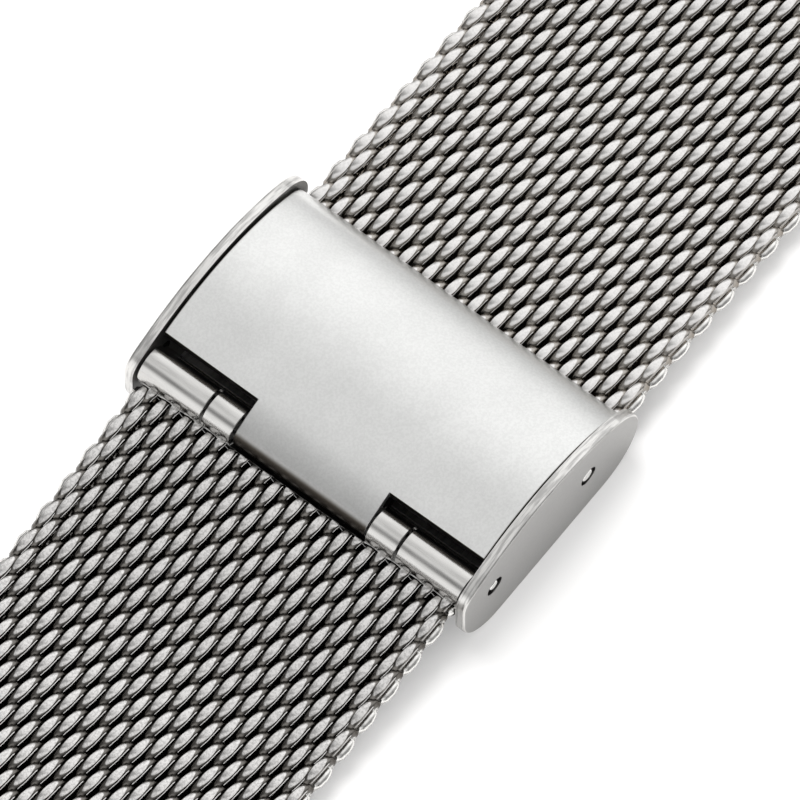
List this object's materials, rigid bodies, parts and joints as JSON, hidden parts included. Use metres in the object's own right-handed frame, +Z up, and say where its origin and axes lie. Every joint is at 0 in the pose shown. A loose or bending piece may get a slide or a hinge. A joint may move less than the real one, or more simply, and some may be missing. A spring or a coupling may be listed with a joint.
{
  "type": "milanese mesh watch band",
  "caption": "Two-piece woven steel mesh watch band with a sliding fold-over clasp: hinged cover, lock lever and sprung lug bars, laid out flat.",
  "frame": {"origin": "centre of the flat underside of the clasp's base plate", "axes": "+X along the band from the short half towards the long half, +Y across the band, +Z up and away from the wrist"},
  "size_m": [0.169, 0.0198, 0.0063],
  "materials": {
    "mesh_wire": "polished stainless steel wire with ground crests",
    "satin_cover": "fine bead-blasted satin stainless steel",
    "brushed_plate": "lengthwise brushed stainless steel",
    "polished_tube": "polished stainless steel tube",
    "pin_steel": "turned stainless steel pin",
    "lever_steel": "plain milled stainless steel",
    "spring_steel": "spring steel",
    "spring_bar_steel": "turned stainless steel"
  },
  "bodies": {
    "clasp_frame": {"left_side_plate": "brushed_plate", "right_side_plate": "brushed_plate", "base_plate": "brushed_plate", "barrel_pin": "pin_steel", "lever_pin": "pin_steel", "catch_pin": "pin_steel"},
    "cover": {"cover_plate": "satin_cover", "catch_tongue": "spring_steel"},
    "lock_lever": {"lock_lever": "lever_steel"},
    "strap_a_1": {"mesh_a_1": "mesh_wire", "long_knuckle_left": "polished_tube", "long_knuckle_right": "polished_tube", "short_knuckle_left": "polished_tube", "short_knuckle_right": "polished_tube"},
    "strap_a_2": {"mesh_a_2": "mesh_wire"},
    "strap_a_3": {"mesh_a_3": "mesh_wire"},
    "strap_a_4": {"mesh_a_4": "mesh_wire"},
    "strap_a_5": {"mesh_a_5": "mesh_wire"},
    "strap_a_6": {"mesh_a_6": "mesh_wire", "end_tube_a": "polished_tube", "bar_body_a": "spring_bar_steel", "bar_spring_a": "spring_steel"},
    "strap_b_1": {"mesh_b_1": "mesh_wire", "tail_edge": "mesh_wire"},
    "strap_b_2": {"mesh_b_2": "mesh_wire"},
    "strap_b_3": {"mesh_b_3": "mesh_wire"},
    "strap_b_4": {"mesh_b_4": "mesh_wire"},
    "strap_b_5": {"mesh_b_5": "mesh_wire"},
    "strap_b_6": {"mesh_b_6": "mesh_wire"},
    "strap_b_7": {"mesh_b_7": "mesh_wire"},
    "strap_b_8": {"mesh_b_8": "mesh_wire"},
    "strap_b_9": {"mesh_b_9": "mesh_wire"},
    "strap_b_10": {"mesh_b_10": "mesh_wire", "end_tube_b": "polished_tube", "bar_body_b": "spring_bar_steel", "bar_spring_b": "spring_steel"},
    "tip_a_left": {"bar_tip_a_left": "spring_bar_steel"},
    "tip_a_right": {"bar_tip_a_right": "spring_bar_steel"},
    "tip_b_left": {"bar_tip_b_left": "spring_bar_steel"},
    "tip_b_right": {"bar_tip_b_right": "spring_bar_steel"}
  },
  "joints": [
    {"name": "cover_hinge", "type": "hinge", "parent": "clasp_frame", "child": "cover", "pos_m": [-0.00532, 0, 0.00405], "axis": [0, -1, 0], "range_deg": [0, 110]},
    {"name": "lever_hinge", "type": "hinge", "parent": "clasp_frame", "child": "lock_lever", "pos_m": [-0.00422, 0, 0.00333], "axis": [0, -1, 0], "range_deg": [0, 30]},
    {"name": "strap_a_hinge", "type": "hinge", "parent": "clasp_frame", "child": "strap_a_1", "pos_m": [-0.00532, 0, 0.00405], "axis": [0, -1, 0], "range_deg": [-25, 30]},
    {"name": "bend_a_2", "type": "hinge", "parent": "strap_a_1", "child": "strap_a_2", "pos_m": [-0.01597, 0, 0.001], "axis": [0, -1, 0], "range_deg": [-22, 22]},
    {"name": "bend_a_3", "type": "hinge", "parent": "strap_a_2", "child": "strap_a_3", "pos_m": [-0.02605, 0, 0.001], "axis": [0, -1, 0], "range_deg": [-22, 22]},
    {"name": "bend_a_4", "type": "hinge", "parent": "strap_a_3", "child": "strap_a_4", "pos_m": [-0.03613, 0, 0.001], "axis": [0, -1, 0], "range_deg": [-22, 22]},
    {"name": "bend_a_5", "type": "hinge", "parent": "strap_a_4", "child": "strap_a_5", "pos_m": [-0.04621, 0, 0.001], "axis": [0, -1, 0], "range_deg": [-22, 22]},
    {"name": "bend_a_6", "type": "hinge", "parent": "strap_a_5", "child": "strap_a_6", "pos_m": [-0.05629, 0, 0.001], "axis": [0, -1, 0], "range_deg": [-22, 22]},
    {"name": "strap_b_slide", "type": "slide", "parent": "clasp_frame", "child": "strap_b_1", "axis": [1, 0, 0], "range_m": [-0.0035, 0.0075]},
    {"name": "bend_b_2", "type": "hinge", "parent": "strap_b_1", "child": "strap_b_2", "pos_m": [0.00992, 0, 0.00158], "axis": [0, 1, 0], "range_deg": [-20, 20]},
    {"name": "bend_b_3", "type": "hinge", "parent": "strap_b_2", "child": "strap_b_3", "pos_m": [0.01998, 0, 0.001], "axis": [0, 1, 0], "range_deg": [-20, 20]},
    {"name": "bend_b_4", "type": "hinge", "parent": "strap_b_3", "child": "strap_b_4", "pos_m": [0.03006, 0, 0.001], "axis": [0, 1, 0], "range_deg": [-20, 20]},
    {"name": "bend_b_5", "type": "hinge", "parent": "strap_b_4", "child": "strap_b_5", "pos_m": [0.04014, 0, 0.001], "axis": [0, 1, 0], "range_deg": [-20, 20]},
    {"name": "bend_b_6", "type": "hinge", "parent": "strap_b_5", "child": "strap_b_6", "pos_m": [0.05022, 0, 0.001], "axis": [0, 1, 0], "range_deg": [-20, 20]},
    {"name": "bend_b_7", "type": "hinge", "parent": "strap_b_6", "child": "strap_b_7", "pos_m": [0.0603, 0, 0.001], "axis": [0, 1, 0], "range_deg": [-20, 20]},
    {"name": "bend_b_8", "type": "hinge", "parent": "strap_b_7", "child": "strap_b_8", "pos_m": [0.07038, 0, 0.001], "axis": [0, 1, 0], "range_deg": [-20, 20]},
    {"name": "bend_b_9", "type": "hinge", "parent": "strap_b_8", "child": "strap_b_9", "pos_m": [0.08046, 0, 0.001], "axis": [0, 1, 0], "range_deg": [-20, 20]},
    {"name": "bend_b_10", "type": "hinge", "parent": "strap_b_9", "child": "strap_b_10", "pos_m": [0.09054, 0, 0.001], "axis": [0, 1, 0], "range_deg": [-20, 20]},
    {"name": "tip_a_left_press", "type": "slide", "parent": "strap_a_6", "child": "tip_a_left", "axis": [0, -1, 0], "range_m": [0, 0.001], "stiffness_N_per_m": 1000, "deforming": ["bar_spring_a"]},
    {"name": "tip_a_right_press", "type": "slide", "parent": "strap_a_6", "child": "tip_a_right", "axis": [0, 1, 0], "range_m": [0, 0.001], "stiffness_N_per_m": 1000, "deforming": ["bar_spring_a"]},
    {"name": "tip_b_left_press", "type": "slide", "parent": "strap_b_10", "child": "tip_b_left", "axis": [0, -1, 0], "range_m": [0, 0.001], "stiffness_N_per_m": 1000, "deforming": ["bar_spring_b"]},
    {"name": "tip_b_right_press", "type": "slide", "parent": "strap_b_10", "child": "tip_b_right", "axis": [0, 1, 0], "range_m": [0, 0.001], "stiffness_N_per_m": 1000, "deforming": ["bar_spring_b"]}
  ],
  "couplings": [
    {"joint": "lever_hinge", "follows": "cover_hinge", "ratio": 0.27}
  ]
}
